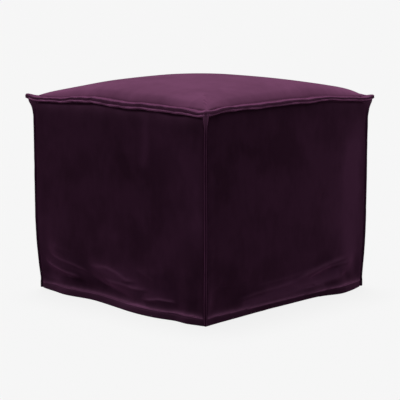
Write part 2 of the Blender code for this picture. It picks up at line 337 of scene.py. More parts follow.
profile_places = places_to(PROFILE_END, PROFILE_STEP)
hem_profiles = [measure_hem(tree_of(cover), side, profile_places) for side in SIDES]
print("hem: profiles on each side", len(profile_places))


# %% Smooth unevenness
def ripple(points, size, seed):
    """Smooth noise between -1 and 1 at each point, with ripples of about the given size."""
    shift = Vector((seed * 7.3, seed * 3.1, seed * 5.7))
    return np.array([noise.noise(Vector(p) / size + shift) for p in points])


def ripple_along(places, size, seed):
    nothing = np.zeros(len(places))
    return ripple(np.column_stack((places, nothing, nothing)), size, seed)


def uneven(places, share, size, seed):
    """Factors that wander around 1 along a line."""
    return 1.0 + share * ripple_along(places, size, seed)


tried = uneven(profile_places, 0.35, 16 * MM, 50)
print("a third uneven, over one side: from", round(tried.min(), 2), "to", round(tried.max(), 2))

# %% Settle the cloth
HEM_TUCK = 0.2 * MM  # the cloth leaves the band this far in
BAND_TOP = LEDGE - 0.6 * MM
FLARE_RETURN = 0.45  # slope of the cloth above the flare
HANG_SLOPE = 0.10  # slope of the cloth that bulges over the hem
BULGE_TURN = 3 * MM  # the curl turns into a bulge as the cloth gains this much reach
BULGE_HIGHLIGHT = 0.06  # painted highlight on a bulge
HEM_LINE_HIGHLIGHT = 1.95  # painted highlight right over the hem: more than all, for a broad bright line
HIGHLIGHT_REACH = 3.4 * MM  # up from the hem
DEEP_TURN = 4.2 * MM  # a shallower turn than this gets less painted highlight
SHALLOW_SHARE = 0.6
LIP_HIGHLIGHT = 0.4  # painted highlight on the upper edge of the hem's band
LIP_HIGHLIGHT_REACH = 1.5 * MM
BAND_HIGHLIGHT = {  # painted highlight on the band itself: (place, share)
    "front": ((-250, 0.3), (-150, 0.22), (-40, 0.18), (100, 0.21), (250, 0.13)),
    "right": ((-250, 0.06), (-60, 0.04), (250, 0.04)),
    "back": ((-250, 0.08), (0, 0.12), (250, 0.08)),
    "left": ((-250, 0.1), (0, 0.16), (250, 0.2)),
}


def off_corners(along, reach):
    """Rise from 0 at a side's corners to 1 at the reach from them."""
    return ease((CORNER - abs(along)) / reach)


def settled_reach(out, up, hem, depth, hanging, highest):
    """How far out settled cloth reaches: curled in over the hem, or hanging over it."""
    over = (up - LEDGE) / FLARE_HEIGHT
    curl = np.sqrt(np.clip(1.0 - (1.0 - np.clip(over, 0.0, 1.0)) ** 2, 0.0, 1.0))
    flare = hem - HEM_TUCK - depth * curl
    back = flare + FLARE_RETURN * (up - LEDGE - FLARE_HEIGHT)
    settled = np.where(over < 1.0, flare, np.minimum(out, back))
    bulging = (up < highest) * ease((hanging - hem) / BULGE_TURN)
    return settled + bulging * (np.maximum(settled, hanging) - settled)


def hem_highlight(along, up, depth, hang, seed):
    """The painted highlight above the hem, along its bright line."""
    lit_hem_line = HEM_LINE_HIGHLIGHT * np.exp(-np.clip(up - LEDGE, 0.0, None) / HIGHLIGHT_REACH)
    lit_hem_line *= uneven(along, 0.35, 16 * MM, seed)
    lit_hem_line *= np.clip(depth / DEEP_TURN, SHALLOW_SHARE, 1.0)
    return np.clip(lit_hem_line + BULGE_HIGHLIGHT * hang, 0.0, 1.0) * off_corners(along, 7 * MM)


def settle_on_hem(piece):
    """Bend the cloth over its hem. Returns the painted highlight at each point, where the pile is
    bent over.
    """
    points = points_of(piece)
    bent = np.zeros(len(points))
    for number, side, on_side in by_side(points):
        on_band = on_side & (points[:, 2] <= BAND_TOP) & (points[:, 2] > BASE)
        along, up = seen_from(side, points[on_band])[1:]
        # painted highlight on the hem's band, and more on its upper edge
        lip = LIP_HIGHLIGHT * np.exp((up - LEDGE) / LIP_HIGHLIGHT_REACH)
        bent[on_band] = share_at(BAND_HIGHLIGHT[side.name], along) + lip
        above = on_side & (points[:, 2] > BAND_TOP)
        out, along, up = seen_from(side, points[above])
        hem, depth, bulge, highest = (
            np.interp(along, profile_places, measure) for measure in hem_profiles[number]
        )
        hanging = bulge + HANG_SLOPE * (highest - up)
        settled = settled_reach(out, up, hem, depth, hanging, highest)
        move = (settled - out) * off_corners(along, 25 * MM)
        points[above, :2] += np.outer(move, side.outward)
        hang = ease((hanging - hem) / BULGE_TURN) * ease((highest + 12 * MM - up) / (16 * MM))
        bent[above] = hem_highlight(along, up, depth, hang, 50 + number)
    move_points(piece, points)
    return bent


bent_pile_and_painted_highlight = settle_on_hem(cover)
# counts the points with painted highlight over the hem
print("hem: points with bent pile", int((bent_pile_and_painted_highlight > 0.1).sum()))

# %% [markdown]
# ## Wrinkles above the hem
#
# The cover is a little loose over its hem, and hangs there in shallow swags that catch the light
# along their crests, and a painted highlight runs along each crest too. The solids have the broad
# folds. The crests, only a few millimetres wide, are pressed in here: each is a line over one
# side, from place and height to place and height, and the cloth near it is pushed out, or in for
# a hollow.

# %% Where the creases run
CREASES = {  # (height, width, (place, height, place, height, ...)) in millimetres
    "front": (
        (2.5, 2.7, (-228, 69, -214, 62, -201, 58, -164, 51, -123, 45, -106, 42)),
        (1.8, 3.2, (-210, 87, -190, 79, -164, 74, -127, 69, -97, 61, -78, 54)),
        (0.7, 3.0, (-158, 62, -140, 60, -108, 56, -70, 47, -48, 42)),
        (2.1, 3.6, (-88, 74, -57, 75, -22, 77, 7, 71, 35, 61, 59, 61, 78, 59)),
        (2.2, 2.6, (-50, 53, -23, 51, 21, 51, 59, 48, 94, 49, 110, 47)),
        (2.3, 2.6, (88, 30, 103, 31, 133, 37, 164, 36, 182, 33)),
        (0.9, 3.0, (60, 87, 73, 84, 96, 79, 108, 74, 122, 69)),
        (0.7, 3.0, (-196, 104, -160, 97, -118, 93)),
        (-1.8, 5.0, (-112, 60, -92, 55, -38, 34, 21, 27, 62, 22)),
        (1.0, 8.0, (-230, 26, -204, 29, -170, 28)),
        (-1.2, 5.0, (-170, 40, -135, 37, -95, 35)),
    ),
    "right": (
        (1.5, 3.2, (-170, 33, -141, 37, -98, 41, -41, 43, 22, 47, 50, 50)),
        (1.9, 4.6, (6, 46, 56, 57, 96, 65, 132, 72, 161, 75, 196, 77)),
        (1.6, 3.4, (60, 50, 95, 56, 131, 63, 178, 66, 206, 70)),
        (1.3, 9.0, (-20, 28, 50, 31, 95, 33, 130, 36, 196, 44)),
        (-1.0, 4.0, (168, 40, 190, 38)),
        (0.9, 3.6, (-120, 56, -102, 56, 7, 59, 96, 66, 120, 70)),
        (0.9, 2.5, (-246, 150, -222, 151)),
        (0.9, 2.5, (-246, 134, -224, 134)),
        (0.7, 2.5, (-246, 122, -226, 121)),
    ),
    "back": (
        (1.7, 3.6, (-236, 80, -196, 68, -150, 60, -104, 50, -50, 44)),
        (1.4, 4.6, (-110, 62, -60, 57, 10, 63, 62, 70, 130, 84)),
        (1.5, 3.8, (10, 40, 66, 38, 120, 44, 176, 50, 232, 62)),
        (0.8, 4.0, (-170, 92, -126, 84, -90, 82, -20, 88)),
        (-1.1, 6.0, (-100, 31, 80, 35)),
    ),
    "left": (
        (1.6, 3.8, (-236, 44, -180, 46, -130, 54, -84, 58, -20, 72)),
        (1.4, 4.6, (-100, 100, -42, 86, 10, 76, 58, 66, 130, 60)),
        (1.5, 3.6, (-10, 42, 52, 42, 110, 50, 164, 54, 232, 66)),
        (0.8, 4.0, (70, 98, 112, 88, 150, 85, 226, 92)),
        (-1.1, 6.0, (-110, 35, 50, 36)),
    ),
}
print("creases:", {name: len(creases) for name, creases in CREASES.items()})

# %% Press the creases in
STEEPER_BELOW = 0.7  # a crest falls away faster under its line than over it
GENTLER_ABOVE = 1.5
CREASE_ENDS = 4.0  # it rises in its first quarter and dies out in its last
CREST_HIGHLIGHT = 0.085  # painted highlight on a crest, for each square millimetre of push


def falloff(distance, reach):
    """Fade from 1 to nearly 0 over twice the reach."""
    return np.exp(-((distance / reach) ** 2))


def near_path(along, up, path_in_mm):
    """How far points are from a path, how far over it, and how far on along it, as a share."""
    path = np.array(path_in_mm, float).reshape(-1, 2) * MM
    lengths = np.hypot(*np.diff(path, axis=0).T)
    reached = np.concatenate(([0.0], np.cumsum(lengths))) / lengths.sum()
    found = []
    for number, length in enumerate(lengths):
        run = (path[number + 1] - path[number]) / length
        from_start = np.stack((along, up), axis=1) - path[number]
        t = np.clip(from_start @ run, 0.0, length)
        offset = from_start - t[:, None] * run
        share = reached[number] + t / length * (reached[number + 1] - reached[number])
        found.append((np.hypot(*offset.T), offset[:, 1], share))
    found = np.array(found)
    nearest = found[:, 0].argmin(axis=0)
    return found[nearest, :, np.arange(len(along))].T


def crease_field(along, up, height, width, path):
    """How far one crease pushes out each point of its side, in metres."""
    distance, over, at = near_path(along, up, path)
    reach = width * MM * np.where(over > 0, GENTLER_ABOVE, STEEPER_BELOW)
    ends = ease(CREASE_ENDS * at) * ease(CREASE_ENDS * (1.0 - at))
    return height * MM * ends * falloff(distance, reach)


def press_creases(piece, bent):
    points = points_of(piece)
    most = 0.0
    for _, side, on_side in by_side(points):
        along, up = seen_from(side, points[on_side])[1:]
        fade = ease((up - LEDGE) / (8 * MM)) * off_corners(along, 10 * MM)
        fields = [fade * crease_field(along, up, *crease) for crease in CREASES[side.name]]
        push = sum(fields)
        points[on_side, :2] += np.outer(push, side.outward)
        # a painted highlight along each crest
        bent[on_side] += CREST_HIGHLIGHT * sum(np.clip(field / MM, 0.0, None) ** 2 for field in fields)
        most = max(most, abs(push).max())
    move_points(piece, points)
    return most


print("creases: largest push in mm", round(press_creases(cover, bent_pile_and_painted_highlight) / MM, 2))

# %% [markdown]
# ## Puckers along the seams
#
# A sewn seam draws the cloth in with every stitch, so velvet never lies quite flat beside one.
# Short ripples run away from the corner seams and the top edge and die out within a few
# centimetres. Smooth noise, stretched across the seam, gives them without a pattern. The same
# noise at a hand's width makes the soft unevenness of filled cloth.

# %% Pucker the cloth beside its seams
PUCKER_DEPTH = 0.8 * MM
PUCKER_LENGTH = 13 * MM  # along the seam, from one ripple to the next
PUCKER_REACH = 28 * MM  # away from the seam
PUCKER_STRETCH = 3.0  # how much longer than wide a ripple is
SAG_DEPTH = 1.2 * MM
SAG_SIZE = 110 * MM
SHOULDER = 12 * MM  # the sides' rounded top, under the seam
HELD = 6 * MM  # so near to its corner seam, the cloth can't move
SAG_FROM = {"corner": 40 * MM, "top": 60 * MM, "hem": 40 * MM, "edge": 50 * MM}


def pucker_sides(points):
    soft = ripple(points, SAG_SIZE, 2)
    for number, side, on_side in by_side(points):
        out, along, up = seen_from(side, points)
        wall = on_side & (out > NECK) & (up > HEM_TOP) & (up < TOP_SEAM - SHOULDER)
        along, up = along[wall], up[wall]
        stretched = np.column_stack((along / PUCKER_STRETCH, up, np.full(len(up), number)))
        to_corner = CORNER - abs(along)
        beside = ease(1.0 - to_corner / PUCKER_REACH) * ease(to_corner / HELD)
        push = PUCKER_DEPTH * beside * ripple(stretched, PUCKER_LENGTH, 5)
        open_cloth = ease(to_corner / SAG_FROM["corner"]) * ease((TOP_SEAM - up) / SAG_FROM["top"])
        push += SAG_DEPTH * soft[wall] * open_cloth * ease((up - HEM_TOP) / SAG_FROM["hem"])
        points[wall, :2] += np.outer(push, side.outward)
    return soft


cloth_points = points_of(cover)
sag = pucker_sides(cloth_points)
print("cover: it sags by up to", round(sag.max() * SAG_DEPTH / MM, 2), "mm")

# %% Pucker the panel beside the top edge
RIM_DROP = 8 * MM  # the panel's border rolls down to the stitched edge
RIM_DROP_REACH = 14 * MM
FULL_ROLL = 80 * MM  # from its ears
MITRE = 20 * MM  # the puckers die out this far from the line to an ear
PANEL_HELD = 5 * MM
PANEL_PUCKERS = 0.6  # depth, length, reach and sag, as shares of the sides'
PANEL_PUCKER_LENGTH = 1.4
PANEL_PUCKER_REACH = 1.5
PANEL_SAG = 0.8


def pucker_top(points, soft):
    for number, side, on_side in by_side(points):
        out, along, up = seen_from(side, points)
        panel = on_side & (out < NECK - 0.5 * MM) & (up > TOP_SEAM)
        out, along = out[panel], along[panel]
        stretched = np.column_stack((along, out / PUCKER_STRETCH, np.full(len(out), number)))
        to_seam = NECK - out
        rolled = RIM_DROP * off_corners(along, FULL_ROLL)
        lift = -rolled * np.clip(1.0 - to_seam / RIM_DROP_REACH, 0.0, 1.0) ** 2
        near = ease(1.0 - to_seam / (PANEL_PUCKER_REACH * PUCKER_REACH))
        beside = near * ease(to_seam / PANEL_HELD) * ease((out - abs(along)) / MITRE)
        ripples = ripple(stretched, PANEL_PUCKER_LENGTH * PUCKER_LENGTH, 9)
        lift += PANEL_PUCKERS * PUCKER_DEPTH * beside * ripples
        lift += PANEL_SAG * SAG_DEPTH * soft[panel] * ease(to_seam / SAG_FROM["edge"])
        points[panel, 2] += lift


pucker_top(cloth_points, sag)
move_points(cover, cloth_points)
print("panel: its border rolls down by", round(RIM_DROP / MM, 1), "mm")

# %% [markdown]
# ## The line of the top seam
#
# The seam between the sides and the top panel isn't straight: fuller filling carries it up, and
# a panel that was cut wide lets it hang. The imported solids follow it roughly. The finer line is
# given here as a few heights over each side, and the cloth above and below is drawn along.

# %% Draw the cloth along with its seam
SEAM_SHIFT = {  # (place, how far up) in millimetres
    "front": (
        (-250, -0.5), (-197, -0.5), (-152, -1.6), (-106, -1.0), (-78, 2.0), (-60, 4.0), (-14, 4.6),
        (32, 2.8), (75, 5.6), (117, 7.2), (158, 5.4), (199, 7.0), (228, 4.4), (250, 2.0),
    ),
    "right": (
        (-250, 2.0), (-211, -0.6), (-176, -4.6), (-142, -4.2), (-106, -5.4), (-31, -5.0),
        (6, -4.8), (43, -5.8), (82, -2.0), (121, 0.6), (201, 0.8), (250, 0.4),
    ),
    "back": ((-250, 0.4), (-160, 2.0), (-60, -2.5), (40, 1.5), (150, -2.0), (250, 0)),
    "left": ((-250, 0), (-150, -2.0), (-50, 1.5), (60, 3.0), (160, -1.0), (250, -0.5)),
}
SEAM_PULL_DOWN = 110 * MM
SEAM_PULL_IN = 70 * MM


def seam_shift(side, along):
    return table_at(SEAM_SHIFT[side.name], along)


def follow_seam(points):
    for _, side, on_side in by_side(points):
        out, along, up = seen_from(side, points[on_side])
        under = ease(1.0 - (TOP_SEAM - up) / SEAM_PULL_DOWN)
        inside = ease(1.0 - (NECK - out) / SEAM_PULL_IN)
        inside = np.where(up < TOP_SEAM, 1.0, inside)
        points[on_side, 2] += seam_shift(side, along) * under * inside


follow_seam(cloth_points)
move_points(cover, cloth_points)
highest_shift = max(high for table in SEAM_SHIFT.values() for _, high in table)
print("seam: moved up by as much as", highest_shift, "mm")

# %% [markdown]
# ## The stitched edge round the top
#
# Where the top panel meets the sides, both cloths are turned in and sewn through, so a double
# edge stands out: two soft lips with a line between them. Each side's edge is copied from its
# solid and rounded. Then its thickness, reach and height wander a little, as hand-fed cloth
# does, and the line between the lips is drawn deeper. At each corner two edges run into each
# other and make an ear, which curls up a little.

# %% Read the seam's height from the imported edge
EDGE_MIDDLE = 255 * MM  # a place well inside the edge's width
STEP_ALONG = 5 * MM


def seam_line(side):
    """Places along a side, and the height of the middle of its top edge at each."""
    tree = tree_of(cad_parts["top_edge_" + side.name])
    places = places_to(SIDE_END, STEP_ALONG)
    heights = []
    for start in world_points(side, EDGE_MIDDLE, places, 0.0):
        under = tree.ray_cast(Vector(start), Vector((0, 0, 1)))[0]
        over = tree.ray_cast(Vector((start[0], start[1], 1.0)), Vector((0, 0, -1)))[0]
        heights.append(0.5 * (under.z + over.z))
    return places, np.array(heights)


seam_lines = {side.name: seam_line(side) for side in SIDES}
print("seam from", round(min(h.min() for _, h in seam_lines.values()) / MM, 1), "mm up")

# %% Turn the edge
# How far the front edge rides off its smooth line, in millimetres: it has a kink near its left
# end, where the cloth was eased round a thick place in the seam.
EDGE_WAVE = {
    "front": (
        (-250, 0), (-205, 0.2), (-160, -0.6), (-136, -1.2), (-122, 1.3), (-104, 0.9), (-76, 0.6),
        (-40, 0.2), (-6, -1.2), (22, 1.0), (48, -0.6), (70, 0), (111, -0.2), (152, 0.6),
        (192, -0.4), (231, -1.3), (250, -0.8),
    ),
    "right": ((-250, 0), (-189, 1.2), (-120, 0), (26, 0.7), (64, 0), (143, -0.4), (250, 0)),
    "back": ((-250, 0), (-120, 0.8), (-90, -0.7), (60, 0.6), (150, -0.5), (250, 0)),
    "left": ((-250, 0), (-160, -0.6), (-40, 0.8), (10, -0.5), (120, 0.5), (250, 0)),
}
EDGE_HEIGHT = {  # how much taller the edge is than its solid: (place, times)
    "front": (
        (-250, 1.2), (-197, 1.1), (-110, 1.35), (-60, 1.5), (-14, 1.7), (30, 1.6), (185, 1.6),
        (250, 1.3),
    ),
    "right": ((-250, 1.3), (-200, 1.2), (60, 1.25), (110, 1.0), (250, 1.0)),
    "back": ((-250, 1.0), (-100, 1.25), (80, 1.4), (250, 1.0)),
    "left": ((-250, 1.0), (-60, 1.3), (120, 1.2), (250, 1.2)),
}
LOWER_LIP = {"front": 2.0, "right": 1.3, "back": 1.6, "left": 1.6}  # millimetres, as the next
EDGE_RUMPLE = {"front": 1.3, "right": 0.45, "back": 0.8, "left": 0.8}
LIP_SWELL = 0.14  # share of the thickness
LIP_REACH = 1 * MM
GROOVE_DEPTH = 1.1 * MM
GROOVE_WIDTH = 1 * MM
EDGE_REACH = 259 * MM
EDGE_END = 254 * MM  # the edge's own unevenness dies out here
EDGE_END_FADE = 12 * MM


def edge_outline(side, out, along, from_seam, seed):
    """How far out an uneven edge reaches, how far off its seam it is, and its rise."""
    off_ears = ease((EDGE_END - abs(along)) / EDGE_END_FADE)
    free = np.clip((out - NECK) / (EDGE_REACH - NECK), 0.0, 1.0)
    swell = LIP_SWELL * ripple_along(along, 24 * MM, seed)
    lip = np.where(from_seam > 0, 0.0, 3.0)
    wander = ripple(np.column_stack((along, lip, lip)), 21 * MM, seed + 1)
    groove = GROOVE_DEPTH * falloff(from_seam, GROOVE_WIDTH)
    out = out - groove * ease((out - EDGE_MIDDLE) / (2 * MM))
    out = out + LIP_REACH * wander * free * off_ears
    out = out + LOWER_LIP[side.name] * MM * free * off_ears * ease(-from_seam / (1.5 * MM))
    rumple = ripple_along(along, 33 * MM, seed + 2) + 0.7 * ripple_along(along, 13 * MM, seed + 5)
    rise = table_at(EDGE_WAVE[side.name], along) * off_ears
    rise = rise + EDGE_RUMPLE[side.name] * MM * rumple * off_ears
    return out, from_seam * (share_at(EDGE_HEIGHT[side.name], along) + swell), rise


tallest = max(times for table in EDGE_HEIGHT.values() for _, times in table)
print("edge: up to", tallest, "times as tall as its solid")


# %% Give the edge its painted highlight and its ears
FRONT_HIGHLIGHT = 0.34  # painted highlight on the edge's upright front
# and more painted highlight on the lower lip, by side
LOWER_LIP_HIGHLIGHT = {"front": 0.35, "right": 0.1, "back": 0.15, "left": 0.25}
EAR_OVERLAP = 1.4 * MM  # at the ears, each edge runs on a little into the next one
EAR_ROOT = 236 * MM
EAR_START = 346 * MM  # out from the middle, along a corner's diagonal
EAR_TIP = 366 * MM
EAR_CURL = {"front_right": 0.4, "back_right": 0.8, "back_left": 1.6, "front_left": 2.4}  # mm


def keep_on_mesh(piece, name, values):
    """Keep a value for each point on the mesh, where its material can read it."""
    layer = piece.data.attributes.new(name, "FLOAT", "POINT")
    layer.data.foreach_set("value", np.clip(values, -1.0, 1.0))


def edge_highlight(piece, side, along, from_seam, seed):
    """The painted highlight of an edge: along its front, and most on the lower lip."""
    upright = 1.0 - np.clip(points_of(piece, "normal")[:, 2], 0.0, 1.0)
    lower = LOWER_LIP_HIGHLIGHT[side.name] * ease(-from_seam / (1.2 * MM))
    return upright * (FRONT_HIGHLIGHT + lower) * uneven(along, 0.5, 14 * MM, seed)


def ear_curl(side, out, along):
    """How much the two ears of an edge curl up, most at their tips."""
    first_corner = SIDES[SIDES.index(side) - 1].last_corner
    height = np.where(along < 0, EAR_CURL[first_corner], EAR_CURL[side.last_corner])
    to_tip = (out + abs(along)) / math.sqrt(2.0)
    return height * MM * ease((to_tip - EAR_START) / (EAR_TIP - EAR_START))


def make_edge(side, seed):
    mesh = quads_from("top_edge_" + side.name)
    crease_edges(mesh, angle=math.radians(75), strength=0.5)
    piece = smooth(object_from("edge_" + side.name, mesh), levels=2)
    out, along, up = seen_from(side, points_of(piece))
    seam = np.interp(along, *seam_lines[side.name])
    out, from_new_seam, rise = edge_outline(side, out, along, up - seam, seed)
    from_seam = up - seam
    up = seam + seam_shift(side, along) + from_new_seam + rise
    up = up + ear_curl(side, out, along)
    along = along + EAR_OVERLAP * np.sign(along) * ease((abs(along) - EAR_ROOT) / (8 * MM))
    move_points(piece, world_points(side, out, along, up))
    # painted highlight, kept on the mesh for the material
    keep_on_mesh(piece, "bent_pile_and_painted_highlight", edge_highlight(piece, side, along, from_seam, seed + 3))
    return piece


edges = {side.name: make_edge(side, 11 + 4 * number) for number, side in enumerate(SIDES)}
tell_faces("edges", edges.values())

# %% [markdown]
# ## How the pile was brushed, and where light and shade are painted
#
# A hand that strokes velvet leaves the hairs leaning. Where they lean towards the light the cloth
# is paler, and where they lean away it is nearly black, so a plain side is full of cloudy marks.
# They are drawn as strokes, like the creases, but only set a value on the mesh, which the
# material reads. Low strokes over the hem's folds paint their light and shade. Right under the
# top edge a painted shadow lies in a line, and under it a painted highlight in a narrow band,
# where the cloth rolls in to its seam. The panel's border gets a painted sheen, and its gutter a
# painted shade.

# %% Where the sides were brushed, and where their folds are painted lit and shaded
# The low strokes, a few centimetres over the hem, paint the light on the folds and the shade in
# their hollows.
BRUSHED_AND_FOLD_SHADING = {  # (share, width, (place, height, place, height, ...)) in millimetres
    "front": (
        (0.26, 12, (-246, 390, -244, 110)),
        (0.36, 10, (86, 388, 90, 340, 82, 300)),
        (-0.25, 11, (20, 302, 40, 276)),
        (0.28, 50, (120, 380, 190, 300, 215, 180, 160, 120)),
        (0.22, 14, (70, 192, 84, 172)),
        (0.26, 16, (222, 256, 226, 200)),
        (0.20, 12, (-40, 150, 0, 142)),
        (-0.14, 30, (-150, 250, -120, 190)),
        (0.40, 12, (-224, 30, -180, 30)),
        (0.34, 26, (-220, 58, -100, 62, 20, 58, 150, 46)),
        (0.30, 9, (-60, 72, -20, 70, 20, 62)),
        (-0.30, 7, (-140, 40, -106, 36)),
    ),
    "right": (
        (0.62, 40, (216, 330, 198, 257, 196, 180, 200, 96)),
        (0.55, 24, (200, 296, 194, 262, 202, 222)),
        (-0.14, 34, (-236, 380, -225, 280, -200, 200)),
        (-0.14, 40, (-100, 320, -20, 330)),
        (-0.18, 18, (-190, 60, -170, 90)),
        (0.16, 34, (120, 190, 176, 133)),
        (0.44, 16, (-60, 44, 40, 50, 130, 56)),
        (-0.12, 60, (-180, 350, -60, 340)),
        (0.95, 8, (-130, 25, -41, 31, 30, 33, 95, 36, 150, 42)),
        (0.42, 7, (-30, 39, 60, 44, 120, 52, 176, 58)),
        (-0.40, 4, (62, 53, 131, 60, 184, 62)),
    ),
    "back": (
        (0.35, 34, (-170, 320, -110, 220, -130, 120)),
        (-0.24, 40, (60, 340, 120, 240)),
        (0.26, 20, (-180, 50, 0, 58, 150, 48)),
        (0.30, 10, (40, 260, 70, 180)),
    ),
    "left": (
        (0.30, 36, (120, 330, 170, 220, 140, 110)),
        (-0.22, 36, (-160, 300, -90, 220)),
        (0.26, 20, (-160, 52, 0, 60, 170, 50)),
        (0.34, 10, (-60, 370, -40, 310)),
    ),
}
print("strokes:", {name: len(strokes) for name, strokes in BRUSHED_AND_FOLD_SHADING.items()})

# %% Brush the cover, and paint its light and shade
SIDES_SHADE = -0.26  # painted shade: all the sides are darker, as their pile leans away from the light
GLOW = {  # painted highlight under the top edge: (place, share)
    "front": (
        (-250, 0.5), (-205, 0.85), (-60, 1.0), (20, 0.75), (110, 0.6), (185, 0.8), (250, 0.3),
    ),
    "right": ((-250, 0), (100, 0.1), (140, 0.3), (250, 0.4)),
    "back": ((-250, 0.3), (0, 0.1), (250, 0.4)),
    "left": ((-250, 0.3), (100, 0.6), (250, 0.5)),
}
GLOW_START = 2.5 * MM
GLOW_REACH = 9 * MM
LIP_UNDER_SEAM = 5 * MM  # times the edge's height there
SHADE = 0.6  # painted shadow right under the edge
SHADE_REACH = 3.5 * MM
PANEL_BORDER_SHEEN = {"front": 0.35, "right": 0.2, "back": 0.6, "left": 0.95}  # painted sheen: paler on the panel's border
PANEL_REACH = 56 * MM
GUTTER_SHADE = {"front": -0.9, "right": -0.9, "back": -0.6, "left": -0.5}  # painted shade: darker right at its seam
GUTTER_REACH = 3.6 * MM


def stroke_field(along, up, amount, width, path):
    return amount * falloff(near_path(along, up, path)[0], width * MM)


def brush_cover(points, bent):
    """How the cover's pile leans at each point, with painted shade and sheen. Adds the painted
    highlight under the top edge to bent.
    """
    lay_and_painted_light = np.zeros(len(points))
    on_panel = np.zeros(len(points), bool)
    for number, side, on_side in by_side(points):
        along, up = seen_from(side, points)[1:]
        seam = np.interp(along, *seam_lines[side.name]) + seam_shift(side, along)
        wall = on_side & (up < seam) & (up > BASE)
        on_panel |= on_side & (up >= seam)
        along, up, seam = along[wall], up[wall], seam[wall]
        fields = [stroke_field(along, up, *stroke) for stroke in BRUSHED_AND_FOLD_SHADING[side.name]]
        lip = LIP_UNDER_SEAM * share_at(EDGE_HEIGHT[side.name], along)
        under = np.clip(seam - lip - up, 0.0, None)
        # the brushed lean, a painted shade on all the sides and a painted shadow right under the
        # edge
        lay_and_painted_light[wall] = SIDES_SHADE + sum(fields) - SHADE * falloff(under, SHADE_REACH)
        # a painted highlight in a narrow band under the edge
        glow = share_at(GLOW[side.name], along) * np.exp(-under / GLOW_REACH)
        glow *= ease((under - GLOW_START) / (3.5 * MM))
        bent[wall] += glow * uneven(along, 0.35, 30 * MM, 60 + number)
    for side in SIDES:
        to_seam = NECK - seen_from(side, points[on_panel])[0]
        # painted sheen on the panel's border, and painted shade in its gutter
        lay_and_painted_light[on_panel] += PANEL_BORDER_SHEEN[side.name] * falloff(to_seam, PANEL_REACH)
        lay_and_painted_light[on_panel] += GUTTER_SHADE[side.name] * falloff(to_seam, GUTTER_REACH)
    return lay_and_painted_light


pile_lay_and_painted_light = brush_cover(cloth_points, bent_pile_and_painted_highlight)
keep_on_mesh(cover, "pile_lay_and_painted_light", pile_lay_and_painted_light)
keep_on_mesh(cover, "bent_pile_and_painted_highlight", bent_pile_and_painted_highlight)
print("pile: its lean runs from", round(pile_lay_and_painted_light.min(), 2), "to", round(pile_lay_and_painted_light.max(), 2))

# %% [markdown]
# ## The corner welts
#
# Down each upright corner the two side panels meet in a narrow standing seam, again of two
# turned edges. Its solid gives, row by row, how far it stands out. The welt is lofted anew
# through those rows, with a section of two small lips, and wanders a little from side to side.
# Under the ear it grows into a nub, and its end is hidden in the ear.

# %% Loft the welts
WELT_STEP = 3.5 * MM
WELT_SINK = 5 * MM  # its root reaches this far into the cloth
WELT_RISE = 5 * MM  # and its top this far into the ear
WELT_SECTION = (  # half the section, in millimetres: (below the tip, aside)
    (0.7, 0.0), (0.2, 0.65), (0.0, 1.2), (0.25, 1.85), (1.2, 2.4), (2.6, 2.65), (4.2, 2.7),
)
NUB_LENGTH = 22 * MM
NUB_TUCK = 5 * MM  # under the ear, the root follows the cover's rim inwards
NUB_UNTUCK = 12 * MM  # and comes out again where the ear hides it
NUB_SPREAD = 0.9  # the welt grows this much wider there
NUB_OUT = {"front_right": 4.0, "back_right": 2.4, "back_left": 3.0, "front_left": 4.0}  # mm
WELT_TOP_HIGHLIGHT = 0.55  # painted highlight on its top, by the ear
WELT_TOP_REACH = 18 * MM


def welt_rows(node, outward):
    """Heights, roots and tips of a packed welt's sections, along its corner's diagonal."""
    points = np.array([v.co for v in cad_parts[node].data.vertices])
    reach = points[:, :2] @ outward
    heights = np.round(points[:, 2] / MM, 2)
    levels = np.unique(heights)
    at_level = [reach[abs(points[:, 2] / MM - level) < 0.02] for level in levels]
    return levels * MM, np.array([r.min() for r in at_level]), np.array([r.max() for r in at_level])


def welt_section(root, tip, wobble, wider):
    half = [(tip - below * MM, aside * MM * wider) for below, aside in WELT_SECTION]
    right = half + [(root, half[-1][1])]
    left = [(reach, -aside) for reach, aside in right[1:]][::-1]
    return [(reach, aside + wobble) for reach, aside in left + right]


def welt_sections(side, outward, seed):
    """The height and the section of each row of a welt, from the floor into the ear."""
    heights, roots, tips = welt_rows("corner_welt_" + side.last_corner, outward)
    ear = heights[-1] + seam_shift(side, SIDE_END)
    top = ear + WELT_RISE
    fine = np.linspace(heights[0], top, round((top - heights[0]) / WELT_STEP))
    in_nub = ease(1.0 - (heights[-1] - fine) / NUB_LENGTH)
    untuck = NUB_UNTUCK * ease((fine - ear - 2 * MM) / (0.6 * WELT_RISE))
    root = np.interp(fine, heights, roots) - WELT_SINK - NUB_TUCK * in_nub + untuck
    tip = np.interp(fine, heights, tips) + 0.35 * MM * ripple_along(fine, 17 * MM, seed)
    tip += NUB_OUT[side.last_corner] * MM * in_nub**2
    wobble = 0.45 * MM * ripple_along(fine, 38 * MM, seed + 1)
    wider = 1.0 + NUB_SPREAD * in_nub
    return heights[-1], zip(fine, map(welt_section, root, tip, wobble, wider))


